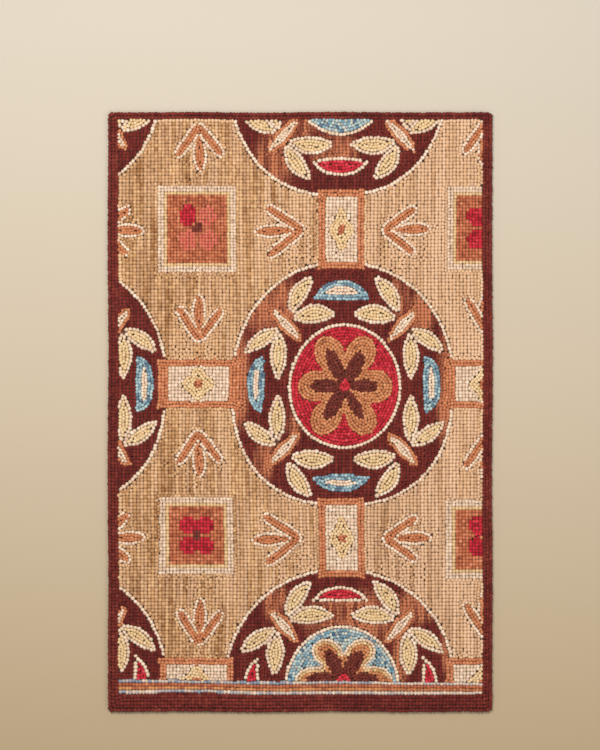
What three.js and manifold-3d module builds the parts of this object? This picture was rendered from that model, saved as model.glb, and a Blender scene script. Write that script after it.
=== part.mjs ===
// A hooked rug lying flat, pile upwards: 610 mm wide and 953 mm long, with its origin under its centre.
// X runs across the rug, Y along it towards the head end, and Z up. Sizes are in millimetres.
//
// The rug is one piece. Wool yarn is pulled up in loops through a cotton foundation cloth, row beside row,
// and the cloth's raw edges are turned under, so the underside is flat and nothing is sewn on top.
// The pile stands in rows that show as soft ribs. Over the field and the side borders they run along the rug,
// and over the head border, the striped band and the foot border they run across it.
// The outermost loops lean outwards and round the pile off down to the edge of the cloth.
import * as THREE from "three";
import { mergeVertices } from "three/addons/utils/BufferGeometryUtils.js";
import Module from "manifold-3d";

const wasm = await Module();
wasm.setup();

// Driving sizes.
const RUG_WIDTH = 610;
const RUG_LENGTH = 953;
const FOUNDATION_THICKNESS = 2; // the cloth with the yarn that runs along its back
const PILE_HEIGHT = 6.5; // how far the loops stand above the cloth
const ROWS_ACROSS = 108; // rows of loops side by side over the width
const ROW_RELIEF = 1.1; // how deep the furrow between two rows is
const SIDE_BORDER_ROWS = 3;
const HEAD_BORDER_ROWS = 2;
const FOOT_BORDER_ROWS = 5;
const STRIPE_ROWS = 4; // the striped band beside the foot border
const EDGE_ROLL = 3.6; // radius of the rounded rim of the pile
const CORNER_RADIUS = 5;

// How uneven the hand work is: the reach of each slow wave, and how many half waves fit on half the rug.
const EDGE_BOW = { reach: 0.7, waves: 2.5 };
const ROW_SWAY = { reach: 1.4, waves: 2 };
const PILE_LIFT = { reach: 0.3, wavesAcross: 4, wavesAlong: 3 };

// Worked-out sizes.
const RUG_THICKNESS = FOUNDATION_THICKNESS + PILE_HEIGHT;
const ROW_PITCH = RUG_WIDTH / ROWS_ACROSS;
const HALF_WIDTH = RUG_WIDTH / 2;
const HALF_LENGTH = RUG_LENGTH / 2;
const SIDE_BORDER = SIDE_BORDER_ROWS * ROW_PITCH;
const HEAD_BORDER = HEAD_BORDER_ROWS * ROW_PITCH;
const FOOT_BAND_ROWS = FOOT_BORDER_ROWS + STRIPE_ROWS;
const FOOT_BAND = FOOT_BAND_ROWS * ROW_PITCH;

// Facets: enough for a row to look round and for the slow waves to show.
const POINTS_PER_ROW = 4;
const STEP_LENGTH = 170;
const RIM_SEGMENTS = 3;
const CORNER_SEGMENTS = 4;

// Hand work is never dead straight: rows waver, edges bow, and the pile stands higher here and there.
// The underside stays flat, because the lift grows with the height above it.
function uneven(geometry) {
  const position = geometry.getAttribute("position");
  for (let i = 0; i < position.count; i += 1) {
    const across = position.getX(i) / HALF_WIDTH;
    const along = position.getY(i) / HALF_LENGTH;
    const height = position.getZ(i) / RUG_THICKNESS;
    const inside = (1 - across ** 2) * (1 - along ** 2);
    const bowX = EDGE_BOW.reach * (1 - along ** 2) * Math.sin(Math.PI * EDGE_BOW.waves * along);
    const bowY = EDGE_BOW.reach * (1 - across ** 2) * Math.sin(Math.PI * EDGE_BOW.waves * across);
    const sway = ROW_SWAY.reach * inside * Math.sin(Math.PI * (ROW_SWAY.waves * along + across));
    const lift =
      PILE_LIFT.reach *
      inside *
      Math.sin(Math.PI * PILE_LIFT.wavesAcross * across) *
      Math.cos(Math.PI * PILE_LIFT.wavesAlong * along);
    position.setX(i, position.getX(i) + bowX + sway);
    position.setY(i, position.getY(i) + bowY);
    position.setZ(i, position.getZ(i) + lift * height);
  }
  return geometry;
}

function solidFrom(geometry) {
  geometry.deleteAttribute("normal");
  geometry.deleteAttribute("uv");
  const merged = mergeVertices(geometry, 1e-4);
  const triangles = merged.index.array;
  return new wasm.Manifold(
    new wasm.Mesh({
      numProp: 3,
      vertProperties: merged.attributes.position.array,
      triVerts: new Uint32Array(triangles),
    }),
  );
}

function geometryFrom(solid) {
  const mesh = solid.getMesh();
  const geometry = new THREE.BufferGeometry();
  geometry.setAttribute("position", new THREE.BufferAttribute(mesh.vertProperties, 3));
  geometry.setIndex(new THREE.BufferAttribute(mesh.triVerts, 1));
  return geometry;
}

// How high the pile stands at a share, from 0 to 1, of the way over a row: a furrow, a round crest, a furrow.
function heightOverRow(share) {
  return RUG_THICKNESS - ROW_RELIEF * (1 - Math.abs(Math.sin(Math.PI * share)));
}

// The end view of rows side by side, centred on X = 0, with the underside on Z = 0.
function endView(rows) {
  const left = (-rows * ROW_PITCH) / 2;
  const outline = new THREE.Shape();
  outline.moveTo(left, 0);
  outline.lineTo(-left, 0);
  for (let i = rows * POINTS_PER_ROW; i >= 0; i -= 1) {
    const share = i / POINTS_PER_ROW;
    outline.lineTo(left + share * ROW_PITCH, heightOverRow(share));
  }
  return outline;
}

// A block of rows that run along Y between two places, centred on X = 0.
function rowsAlong(rows, from, to) {
  return new THREE.ExtrudeGeometry(endView(rows), {
    depth: to - from,
    steps: Math.ceil((to - from) / STEP_LENGTH),
    bevelEnabled: false,
  })
    .rotateX(Math.PI / 2)
    .translate(0, to, 0);
}

// A block of rows that run across the rug between the side borders, the first of them starting at Y = `from`.
function rowsAcross(rows, from) {
  const reach = HALF_WIDTH - SIDE_BORDER;
  return rowsAlong(rows, -reach, reach)
    .rotateZ(Math.PI / 2)
    .translate(0, from + (rows * ROW_PITCH) / 2, 0);
}

// The room that a block of crosswise rows takes up: the lengthwise rows stop at it.
function roomForRowsAcross(from, to) {
  const width = RUG_WIDTH - 2 * SIDE_BORDER - 2 * EDGE_BOW.reach;
  return new THREE.BoxGeometry(width, to - from, 4 * RUG_THICKNESS).translate(0, (from + to) / 2, 0);
}

// One straight side of the plan, in steps, so that it can bow. The pen is at its start.
function sideTo(plan, x, y) {
  const start = plan.currentPoint.clone();
  const end = new THREE.Vector2(x, y);
  const steps = Math.ceil(start.distanceTo(end) / STEP_LENGTH);
  for (let i = 1; i <= steps; i += 1) {
    const point = start.clone().lerp(end, i / steps);
    plan.lineTo(point.x, point.y);
  }
}

// The rug's plan with round corners, as a thick block with a rounded rim along its upper edge.
function rimForm() {
  const plan = new THREE.Shape();
  const x = HALF_WIDTH - CORNER_RADIUS;
  const y = HALF_LENGTH - CORNER_RADIUS;
  const quarter = Math.PI / 2;
  plan.moveTo(-x, -HALF_LENGTH);
  sideTo(plan, x, -HALF_LENGTH);
  plan.absarc(x, -y, CORNER_RADIUS, -quarter, 0, false);
  sideTo(plan, HALF_WIDTH, y);
  plan.absarc(x, y, CORNER_RADIUS, 0, quarter, false);
  sideTo(plan, -x, HALF_LENGTH);
  plan.absarc(-x, y, CORNER_RADIUS, quarter, 2 * quarter, false);
  sideTo(plan, -HALF_WIDTH, -y);
  plan.absarc(-x, -y, CORNER_RADIUS, 2 * quarter, 3 * quarter, false);
  const above = 2 * PILE_LIFT.reach; // clears the highest crests
  const below = 2 * EDGE_ROLL; // keeps the block's own lower rim clear under the rug
  return new THREE.ExtrudeGeometry(plan, {
    depth: RUG_THICKNESS + above - EDGE_ROLL + below,
    curveSegments: CORNER_SEGMENTS,
    bevelEnabled: true,
    bevelThickness: EDGE_ROLL,
    bevelSize: EDGE_ROLL,
    bevelOffset: -EDGE_ROLL,
    bevelSegments: RIM_SEGMENTS,
  }).translate(0, 0, -below);
}

// Every block of rows runs one row past the edge, and the rim form trims them all to the rug's outline.
function hookedRug() {
  const spare = ROW_PITCH;
  const foot = -HALF_LENGTH - spare;
  const head = HALF_LENGTH + spare;
  const footBandEnd = -HALF_LENGTH + FOOT_BAND;
  const headBorderStart = HALF_LENGTH - HEAD_BORDER;
  const rug = solidFrom(uneven(rowsAlong(ROWS_ACROSS + 2, foot, head)))
    .subtract(solidFrom(roomForRowsAcross(foot - spare, footBandEnd - EDGE_BOW.reach)))
    .subtract(solidFrom(roomForRowsAcross(headBorderStart + EDGE_BOW.reach, head + spare)))
    .add(solidFrom(uneven(rowsAcross(FOOT_BAND_ROWS + 1, foot))))
    .add(solidFrom(uneven(rowsAcross(HEAD_BORDER_ROWS + 1, headBorderStart))))
    .intersect(solidFrom(uneven(rimForm())));
  const wool = new THREE.MeshStandardMaterial({ color: 0xbd9166, roughness: 0.95, metalness: 0 });
  const mesh = new THREE.Mesh(geometryFrom(rug), wool);
  mesh.name = "hooked_rug";
  return mesh;
}

const part = new THREE.Group();
part.add(hookedRug());

export default part;
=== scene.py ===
import math
import bmesh
import bpy
import numpy as np
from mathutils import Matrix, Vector, kdtree


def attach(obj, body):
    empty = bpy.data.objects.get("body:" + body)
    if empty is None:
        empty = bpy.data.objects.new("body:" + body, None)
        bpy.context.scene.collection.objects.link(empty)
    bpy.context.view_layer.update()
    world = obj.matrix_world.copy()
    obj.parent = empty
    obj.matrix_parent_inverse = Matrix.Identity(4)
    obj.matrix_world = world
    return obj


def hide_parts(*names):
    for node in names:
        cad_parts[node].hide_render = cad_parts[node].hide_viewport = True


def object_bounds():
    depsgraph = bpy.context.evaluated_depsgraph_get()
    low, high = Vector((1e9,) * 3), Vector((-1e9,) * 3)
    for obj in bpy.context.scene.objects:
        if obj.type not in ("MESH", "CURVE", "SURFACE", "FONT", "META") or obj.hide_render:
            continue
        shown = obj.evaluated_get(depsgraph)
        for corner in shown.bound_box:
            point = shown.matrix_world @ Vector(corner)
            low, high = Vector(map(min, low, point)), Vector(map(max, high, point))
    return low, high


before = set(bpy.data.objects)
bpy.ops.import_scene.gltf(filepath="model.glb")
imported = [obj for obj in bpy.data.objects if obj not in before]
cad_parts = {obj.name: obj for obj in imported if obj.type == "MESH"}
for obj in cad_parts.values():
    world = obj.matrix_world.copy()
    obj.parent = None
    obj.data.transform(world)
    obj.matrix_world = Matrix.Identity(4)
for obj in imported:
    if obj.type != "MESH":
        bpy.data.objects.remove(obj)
cad_low, cad_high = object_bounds()

# The camera.
# The photograph shows the rug square on, from straight above and from far off, so that its edges are
# parallel. A long lens high over the rug gives the same view. X points right and Y up in the picture.
PHOTO_HIGH = 750  # pixels
RUG_LEFT, RUG_RIGHT = 108, 492  # where the rug's side edges lie in the photograph, in pixels
RUG_MIDDLE_BELOW_FRAME_MIDDLE = 37  # pixels
RUG_WIDTH = 0.610
CAMERA_HEIGHT = 6.0
metres_per_pixel = RUG_WIDTH / (RUG_RIGHT - RUG_LEFT)

camera_data = bpy.data.cameras.new("camera")
camera_data.sensor_width = 36
camera_data.lens = camera_data.sensor_width * CAMERA_HEIGHT / (PHOTO_HIGH * metres_per_pixel)
camera = bpy.data.objects.new("camera", camera_data)
camera.location = (0, RUG_MIDDLE_BELOW_FRAME_MIDDLE * metres_per_pixel, CAMERA_HEIGHT + cad_high.z)
bpy.context.collection.objects.link(camera)
bpy.context.scene.camera = camera

# The floor and the light.
# The rug lies on a plain pale beige floor, which darkens evenly towards the foot end. Soft light falls from
# above, a little from the head end, so that each loop has a light crown and shade lies between the loops.
FLOOR_SIZE = 8.0
FLOOR_HEAD, FLOOR_MIDDLE, FLOOR_FOOT = (181, 172, 157), (174, 159, 138), (158, 138, 108)
FLOOR_HEAD_AT, FLOOR_FOOT_AT = 0.62, -0.54  # metres from the rug's middle, along the rug


def linear(rgb):
    """A colour given as three numbers from 0 to 255, as a screen shows it, in the shader's own scale."""
    shares = [channel / 255 for channel in rgb]
    return [s / 12.92 if s <= 0.04045 else ((s + 0.055) / 1.055) ** 2.4 for s in shares] + [1.0]


def add_node(tree, kind, inputs=(), **settings):
    """A node with its settings, and with each of its inputs set to a value or linked to an output."""
    node = tree.nodes.new(kind)
    for name, value in settings.items():
        setattr(node, name, value)
    for name, value in dict(inputs).items():
        if isinstance(value, bpy.types.NodeSocket):
            tree.links.new(value, node.inputs[name])
        else:
            node.inputs[name].default_value = value
    return node


def colour_ramp(tree, share, colours):
    """A colour that runs from one to the next as the share rises past their places."""
    ramp = add_node(tree, "ShaderNodeValToRGB", {"Fac": share})
    stops = ramp.color_ramp.elements
    stops.remove(stops[1])
    for i, (place, rgb) in enumerate(colours.items()):
        stop = stops.new(place) if i else stops[0]
        stop.position, stop.color = place, linear(rgb)
    return ramp.outputs["Color"]


def new_material(name, roughness):
    material = bpy.data.materials.new(name)
    material.use_nodes = True
    shader = material.node_tree.nodes["Principled BSDF"]
    shader.inputs["Roughness"].default_value = roughness
    return material, material.node_tree, shader


def mesh_object(name, points, faces, material=None):
    mesh = bpy.data.meshes.new(name)
    mesh.from_pydata([tuple(p) for p in points], [], [tuple(f) for f in faces])
    if material:
        mesh.materials.append(material)
    mesh.update()
    thing = bpy.data.objects.new(name, mesh)
    bpy.context.collection.objects.link(thing)
    return thing


def floor_material():
    material, tree, shader = new_material("floor_beige", roughness=0.9)
    place = add_node(tree, "ShaderNodeTexCoord")
    split = add_node(tree, "ShaderNodeSeparateXYZ", {"Vector": place.outputs["Object"]})
    run = {"Value": split.outputs["Y"], "From Min": FLOOR_FOOT_AT, "From Max": FLOOR_HEAD_AT}
    along = add_node(tree, "ShaderNodeMapRange", run)
    colour = colour_ramp(tree, along.outputs["Result"], {0: FLOOR_FOOT, 0.5: FLOOR_MIDDLE, 1: FLOOR_HEAD})
    tree.links.new(colour, shader.inputs["Base Color"])
    return material


half = FLOOR_SIZE / 2
corners = [(-half, -half, 0), (half, -half, 0), (half, half, 0), (-half, half, 0)]
floor = mesh_object("floor", corners, [(0, 1, 2, 3)], floor_material())


def soft_light(name, place, size, power, tint):
    """A square lamp that shines at the rug's middle."""
    data = bpy.data.lights.new(name, "AREA")
    data.shape = "SQUARE"
    data.size = size
    data.energy = power
    data.color = tint
    light = bpy.data.objects.new(name, data)
    light.location = place
    light.rotation_euler = (-Vector(place)).to_track_quat("-Z", "Y").to_euler()
    bpy.context.collection.objects.link(light)


soft_light("key_light", (-0.5, 1.0, 2.6), 1.1, 84, (1.0, 0.98, 0.95))
soft_light("fill_light", (1.3, -0.8, 2.6), 2.2, 34, (0.96, 0.98, 1.0))
world = bpy.data.worlds.new("studio")
world.use_nodes = True
world.node_tree.nodes["Background"].inputs["Color"].default_value = (1.0, 0.985, 0.96, 1)
world.node_tree.nodes["Background"].inputs["Strength"].default_value = 0.4
bpy.context.scene.world = world
bpy.context.scene.view_settings.view_transform = "Standard"

# The foundation.
# A plain-woven cotton cloth, through which every loop is hooked. Its raw edges are turned under and
# stitched down as a flat hem, and between the hems the backs of the loops show underneath, row beside row.
# Sizes from here on are in millimetres, and a mesh is brought to metres when it is made.
MM = 0.001
HALF_WIDTH = 305.0
HALF_LENGTH = 476.5
ROWS_ACROSS = 108
PITCH = 2 * HALF_WIDTH / ROWS_ACROSS
CLOTH_THICKNESS = 2.0
HEM_WIDTH = 27.0
HEM_DEPTH = 0.7  # how far the hem stands below the backs of the loops
BACK_RELIEF = 0.5  # how deep the furrows between the backs of two rows are
CLOTH_INSET = 1.2  # the leaning loops at the rim hide the fold of the cloth
FOLD_WIDTH, FOLD_DEPTH = 1.6, 0.9  # how far in and how deep the rim of the cloth is rounded
PAINTED_SHADE_CLOTH = (92, 56, 38)  # under the pile the cloth is painted dark brown: painted shade between the loops
COTTON_DEEP, COTTON_PALE = (84, 56, 34), (166, 132, 96)
PAINTED_SHADE_FROM, PAINTED_SHADE_TO = 1.2 * MM, 1.8 * MM  # the heights between which the cloth's colour turns to painted shade
THREAD_SCALE = 220
THREAD_RELIEF = 0.4 * MM
HEM_STEP = 1.5  # how wide the step from a hem to the backs of the loops is
HEM_POINTS, MIDDLE_POINTS = 6, 24  # along the rug, on each hem and between the hems
# How uneven the hand work is, as in the solid: the reach of each slow wave, and its half waves.
EDGE_BOW, EDGE_WAVES = 0.7, 2.5
ROW_SWAY, SWAY_WAVES = 1.4, 2
PILE_LIFT, LIFT_WAVES_ACROSS, LIFT_WAVES_ALONG = 0.3, 4, 3


def uneven(x, y):
    """Hand work is never dead straight. The same slow waves as in the solid move a point of the rug."""
    across, along = x / HALF_WIDTH, y / HALF_LENGTH
    inside_x, inside_y = 1 - across**2, 1 - along**2
    bow_x = EDGE_BOW * inside_y * np.sin(math.pi * EDGE_WAVES * along)
    bow_y = EDGE_BOW * inside_x * np.sin(math.pi * EDGE_WAVES * across)
    sway = ROW_SWAY * inside_x * inside_y * np.sin(math.pi * (SWAY_WAVES * along + across))
    return x + bow_x + sway, y + bow_y


def lift(x, y):
    """How much higher than elsewhere the pile stands at a place."""
    across, along = x / HALF_WIDTH, y / HALF_LENGTH
    lifted = PILE_LIFT * ((1 - across**2) * (1 - along**2)) * np.sin(math.pi * LIFT_WAVES_ACROSS * across)
    return lifted * np.cos(math.pi * LIFT_WAVES_ALONG * along)


def dress(tree, shader, colour, other, share, relief, strength, depth):
    """Gives a material a colour that runs to another by a share, and a fine relief, its depth in metres."""
    blend = {"Factor": share, "A": colour, "B": linear(other)}
    blended = add_node(tree, "ShaderNodeMix", blend, data_type="RGBA").outputs["Result"]
    bump = add_node(tree, "ShaderNodeBump", {"Height": relief, "Strength": strength, "Distance": depth})
    tree.links.new(blended, shader.inputs["Base Color"])
    tree.links.new(bump.outputs["Normal"], shader.inputs["Normal"])


def cloth_material():
    """Two sets of threads at right angles make the weave. The side under the pile is painted dark, as painted
    shade.
    """
    material, tree, shader = new_material("foundation_cotton", roughness=0.95)
    place = add_node(tree, "ShaderNodeTexCoord").outputs["Object"]
    threads = []
    for turn in (0, math.pi / 2):
        turned = add_node(tree, "ShaderNodeMapping", {"Vector": place, "Rotation": (0, 0, turn)})
        wave = {"Vector": turned.outputs["Vector"], "Scale": THREAD_SCALE, "Distortion": 1.2, "Detail": 2}
        threads.append(add_node(tree, "ShaderNodeTexWave", wave).outputs["Fac"])
    weave = add_node(tree, "ShaderNodeMath", enumerate(threads), operation="MULTIPLY").outputs[0]
    colour = colour_ramp(tree, weave, {0: COTTON_DEEP, 1: COTTON_PALE})
    # The upper face, under the pile, runs to a dark brown: painted shade between the loops.
    height = add_node(tree, "ShaderNodeSeparateXYZ", {"Vector": place}).outputs["Z"]
    run = {"Value": height, "From Min": PAINTED_SHADE_FROM, "From Max": PAINTED_SHADE_TO}
    upper = add_node(tree, "ShaderNodeMapRange", run).outputs["Result"]
    dress(tree, shader, colour, PAINTED_SHADE_CLOTH, upper, weave, 0.6, THREAD_RELIEF)
    return material


def foundation_mesh():
    """A closed slab: a plain upper face under the pile, and an underside with hems and rows of backs."""
    reach_x, reach_y = HALF_WIDTH - CLOTH_INSET, HALF_LENGTH - CLOTH_INSET
    hem_edge = reach_y - HEM_WIDTH
    foot_hem = np.linspace(-reach_y, -hem_edge, HEM_POINTS)
    between = np.linspace(-hem_edge + HEM_STEP, hem_edge - HEM_STEP, MIDDLE_POINTS)
    head_hem = np.linspace(hem_edge, reach_y, HEM_POINTS)
    ys = np.concatenate([foot_hem, between, head_hem])
    x, y = np.meshgrid(np.linspace(-reach_x, reach_x, 2 * ROWS_ACROSS + 1), ys, indexing="ij")
    from_rim = np.minimum(reach_x - abs(x), reach_y - abs(y))
    edge = np.clip(from_rim / FOLD_WIDTH, 0, 1)
    fold = FOLD_DEPTH * (1 - np.sqrt(1 - (1 - edge) ** 2 + 1e-9))
    furrow = np.cos(np.pi * (x + HALF_WIDTH) / PITCH) ** 2
    under = np.where(from_rim <= HEM_WIDTH + 0.01, 0, HEM_DEPTH + BACK_RELIEF * furrow) + fold
    x, y = uneven(x, y)
    top = np.stack([x, y, CLOTH_THICKNESS - fold], -1).reshape(-1, 3)
    bottom = np.stack([x, y, under], -1).reshape(-1, 3)
    below = len(top)
    at = np.arange(below).reshape(x.shape)
    upper = np.stack([at[:-1, :-1], at[1:, :-1], at[1:, 1:], at[:-1, 1:]], -1).reshape(-1, 4)
    ring = np.concatenate([at[:-1, 0], at[-1, :-1], at[:0:-1, -1], at[0, :0:-1]])
    following = np.roll(ring, -1)
    rim = np.stack([following, ring, ring + below, following + below], -1)
    faces = np.concatenate([upper[:, ::-1] + below, upper, rim])
    return np.concatenate([top, bottom]) * MM, faces.tolist()


points, faces = foundation_mesh()
foundation = mesh_object("foundation", points, faces, cloth_material())
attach(foundation, "root")
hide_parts("hooked_rug")

# The loops, and the border.
# The border is hooked first: rows of maroon loops that run beside the edges, right out to the rim, where
# they lean over the fold of the cloth. Each loop is an arch of soft plied wool yarn, with both feet in
# the cloth. A loop is short and wide, so that neighbours touch and only their corners leave dark gaps.
LOOP_HEIGHT = 8.5  # from the floor to the crown
LOOP_WIDTH = PITCH
LOOP_LENGTH = PITCH
YARN_THICKNESS = 2.1
SIDES = 5
SECTION_REACH = 0.951  # how wide a section of five sides is, as a share of its round
FOOT_DEPTH = 0.4  # how deep a foot stands in the cloth
HEIGHT_SPREAD = 0.2
BORDER_ROWS = {"left": 3, "right": 3, "head": 2, "foot": 5}
BORDER_PITCH = {"left": 5.4, "right": 4.7, "head": 5.9, "foot": 5.4}
BORDER_SPACING, BORDER_GAP = 5.4, 3.8  # between loops in a row, and the least between any two
SEAM_GAP = 4.3  # how near to its neighbours an extra border loop may stand
RIM_FREE = 4.0  # extra border loops stay this far from the edge
RIM_LEAN = math.radians(6)  # how far the outermost loops lean over the edge
RIM_INSET = 0.8
chance = np.random.default_rng(41)


def yarn_loop():
    """One loop, standing on the origin with its row along X, as a closed tube bent into an arch."""
    foot = CLOTH_THICKNESS - FOOT_DEPTH
    crown = LOOP_HEIGHT - YARN_THICKNESS / 2
    shoulder = LOOP_LENGTH / 2 - YARN_THICKNESS / 2
    elbow = foot + 0.76 * (crown - foot)
    # Each ring: place along the row, height, lean of the section in degrees, width and thickness.
    rings = [
        (-0.75 * shoulder, foot, 92, 0.52, 0.8),
        (-1.04 * shoulder, elbow, 58, 0.84, 0.95),
        (0.0, crown, 0, 1.0, 1.0),
        (1.04 * shoulder, elbow, -58, 0.84, 0.95),
        (0.75 * shoulder, foot, -92, 0.52, 0.8),
    ]
    points, faces = [], []
    for along, high, lean, wide, thick in rings:
        way = math.radians(lean)
        out_x, out_z = -math.sin(way), math.cos(way)
        for side in range(SIDES):
            angle = 2 * math.pi * side / SIDES + math.pi / 2
            across = math.cos(angle) * wide * LOOP_WIDTH / 2 / SECTION_REACH
            out = math.sin(angle) * thick * YARN_THICKNESS / 2
            points.append((along + out_x * out, across, high + out_z * out))
    for ring in range(len(rings) - 1):
        for side in range(SIDES):
            a = ring * SIDES + side
            b = ring * SIDES + (side + 1) % SIDES
            faces.append((a, b, b + SIDES, a + SIDES))
    last = (len(rings) - 1) * SIDES
    faces.append(tuple(reversed(range(SIDES))))
    faces.append(tuple(last + side for side in range(SIDES)))
    thing = mesh_object("yarn_loop", np.array(points) * MM, faces)
    shape = bmesh.new()
    shape.from_mesh(thing.data)
    bmesh.ops.recalc_face_normals(shape, faces=shape.faces)
    shape.to_mesh(thing.data)
    shape.free()
    thing.data.shade_smooth()
    return thing


LOOP_INPUTS = {
    "Points": "Geometry",
    "Loop": "Object",
    "Wool": "Material",
    "Unevenness": "Float",
    "Seed": "Int",
}


def loop_tree():
    """The Geometry Nodes that put a loop on every point, turned, leaned and stretched as the point says."""
    tree = bpy.data.node_groups.new("loops_on_points", "GeometryNodeTree")
    for name, kind in LOOP_INPUTS.items():
        tree.interface.new_socket(name, in_out="INPUT", socket_type=f"NodeSocket{kind}")
    tree.interface.new_socket("Pile", in_out="OUTPUT", socket_type="NodeSocketGeometry")
    given = add_node(tree, "NodeGroupInput").outputs

    def point_value(name):
        value = {"Name": name}
        return add_node(tree, "GeometryNodeInputNamedAttribute", value, data_type="FLOAT_VECTOR").outputs[0]

    limits = {"Min": (-1, -1, -1), "Max": (1, 1, 1), "Seed": given["Seed"]}
    jitter = add_node(tree, "FunctionNodeRandomValue", limits, data_type="FLOAT_VECTOR").outputs[0]
    by = {0: jitter, "Scale": given["Unevenness"]}
    uneven_turn = add_node(tree, "ShaderNodeVectorMath", by, operation="SCALE").outputs[0]
    turns = {0: point_value("turn"), 1: uneven_turn}
    turned = add_node(tree, "ShaderNodeVectorMath", turns, operation="ADD").outputs[0]
    standing = {
        "Points": given["Points"],
        "Instance": add_node(tree, "GeometryNodeObjectInfo", {"Object": given["Loop"]}).outputs["Geometry"],
        "Rotation": add_node(tree, "FunctionNodeEulerToRotation", {0: turned}).outputs[0],
        "Scale": point_value("stretch"),
    }
    place = add_node(tree, "GeometryNodeInstanceOnPoints", standing)
    real = add_node(tree, "GeometryNodeRealizeInstances", {0: place.outputs[0]})
    dyed = add_node(tree, "GeometryNodeSetMaterial", {"Geometry": real.outputs[0], "Material": given["Wool"]})
    add_node(tree, "NodeGroupOutput", {"Pile": dyed.outputs[0]})
    return tree


def slow_noise(x, y, size_x, size_y, seed):
    """Smooth random values from -1 to 1 that change over the given distances."""
    table = np.random.default_rng(seed).uniform(-1, 1, (64, 64))
    u, v = np.asarray(x) / size_x, np.asarray(y) / size_y
    i, j = np.floor(u).astype(int), np.floor(v).astype(int)
    s, t = u - i, v - j
    s, t = s * s * (3 - 2 * s), t * t * (3 - 2 * t)
    a, b = table[i % 64, j % 64], table[(i + 1) % 64, j % 64]
    c, d = table[i % 64, (j + 1) % 64], table[(i + 1) % 64, (j + 1) % 64]
    return (a * (1 - s) + b * s) * (1 - t) + (c * (1 - s) + d * s) * t


def column_noise(x, y, size_y, seed):
    """The same, but with values of its own for each row of loops that runs along the rug."""
    return slow_noise(np.floor(np.asarray(x) / PITCH), y, 1, size_y, seed)


WOOL_GLOSS = {"Specular IOR Level": 0.15, "Sheen Weight": 0.04, "Sheen Roughness": 0.6}
FUZZ = 0.34  # how far the tone changes from fibre to fibre
FIBRE_SCALE = 1100
FIBRE_RELIEF = 0.5 * MM


def dyed_wool(name, deep, main, pale, cast, slot=None):
    """Plied wool yarn, and its slot. A loop's tone lies from deep to pale, and it may run to the cast."""
    material, tree, shader = new_material(f"{name}_wool", roughness=0.92)
    for label, value in WOOL_GLOSS.items():
        shader.inputs[label].default_value = value
    tone = add_node(tree, "ShaderNodeAttribute", attribute_name="tone").outputs["Fac"]
    share = add_node(tree, "ShaderNodeAttribute", attribute_name="cast").outputs["Fac"]
    place = add_node(tree, "ShaderNodeTexCoord").outputs["Object"]
    grain = {"Vector": place, "Scale": FIBRE_SCALE, "Detail": 3}
    fibres = add_node(tree, "ShaderNodeTexNoise", grain).outputs["Fac"]
    fuzzy = add_node(tree, "ShaderNodeMath", {0: fibres, 1: FUZZ, 2: tone}, operation="MULTIPLY_ADD")
    centred = add_node(tree, "ShaderNodeMath", {0: fuzzy.outputs[0], 1: FUZZ / 2}, operation="SUBTRACT")
    colour = colour_ramp(tree, centred.outputs[0], {0.05: deep, 0.5: main, 0.95: pale})
    dress(tree, shader, colour, cast, share, fibres, 0.5, FIBRE_RELIEF)
    return material, slot or f"wool_{name}"


class Cloth:
    """What is hooked so far: every loop, by small squares of cloth, and the cloth that is taken."""

    SQUARE = 6.0
    BAND_STEP = 0.7

    def __init__(self):
        self.squares = {}
        self.taken = np.zeros((int(2 * HALF_WIDTH) + 1, int(2 * HALF_LENGTH) + 1), bool)

    def cells(self, spots):
        """Where spots lie in the table of taken cloth, which has a cell for each square millimetre."""
        i, j = np.rint(spots[:, :2] + (HALF_WIDTH, HALF_LENGTH)).astype(int).T
        return i, np.minimum(j, self.taken.shape[1] - 1)

    def free(self, spots):
        """The spots that lie on the rug, on cloth that isn't taken."""
        if not len(spots):
            return []
        spots = on_rug(np.array(spots, float))
        return spots[~self.taken[self.cells(spots)]].tolist()

    def take(self, outline):
        """Takes the cloth inside an outline."""
        low = np.floor(outline.min(0) + (HALF_WIDTH, HALF_LENGTH)).astype(int)
        high = np.ceil(outline.max(0) + (HALF_WIDTH, HALF_LENGTH)).astype(int) + 1
        low = np.maximum(low, 0)
        high = np.minimum(high, self.taken.shape)
        i, j = np.meshgrid(np.arange(low[0], high[0]), np.arange(low[1], high[1]), indexing="ij")
        spots = np.stack([i - HALF_WIDTH, j - HALF_LENGTH], -1).reshape(-1, 2)
        self.taken[i, j] |= inside(spots, outline).reshape(i.shape)

    def take_band(self, outline, width):
        """Takes the cloth just inside an outline."""
        for inset in np.arange(0, width, self.BAND_STEP):
            line = fine_outline(grown(outline, -inset), self.BAND_STEP)
            self.taken[self.cells(on_rug(line[inside(line, outline)]))] = True

    def has_room(self, x, y, gap):
        i, j = int(x // self.SQUARE), int(y // self.SQUARE)
        for a in (i - 1, i, i + 1):
            for b in (j - 1, j, j + 1):
                for other_x, other_y in self.squares.get((a, b), ()):
                    if (other_x - x) ** 2 + (other_y - y) ** 2 < gap * gap:
                        return False
        return True

    def hook(self, spots, gap):
        """Hooks a loop at each (x, y, turn) that is free and has room, and returns those."""
        made = []
        for x, y, turn in self.free(spots):
            if self.has_room(x, y, gap):
                square = int(x // self.SQUARE), int(y // self.SQUARE)
                self.squares.setdefault(square, []).append((x, y))
                made.append((x, y, turn))
        return made


def on_rug(spots):
    return spots[(abs(spots[:, 0]) < HALF_WIDTH) & (abs(spots[:, 1]) < HALF_LENGTH)]


def inside(spots, outline):
    """Which spots lie inside a closed outline."""
    x, y = spots[:, 0], spots[:, 1]
    odd = np.zeros(len(spots), bool)
    start_x, start_y = outline[-1]
    for end_x, end_y in outline:
        if start_y != end_y:
            crosses = (start_y > y) != (end_y > y)
            odd ^= crosses & (x < (end_x - start_x) * (y - start_y) / (end_y - start_y) + start_x)
        start_x, start_y = end_x, end_y
    return odd


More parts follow.
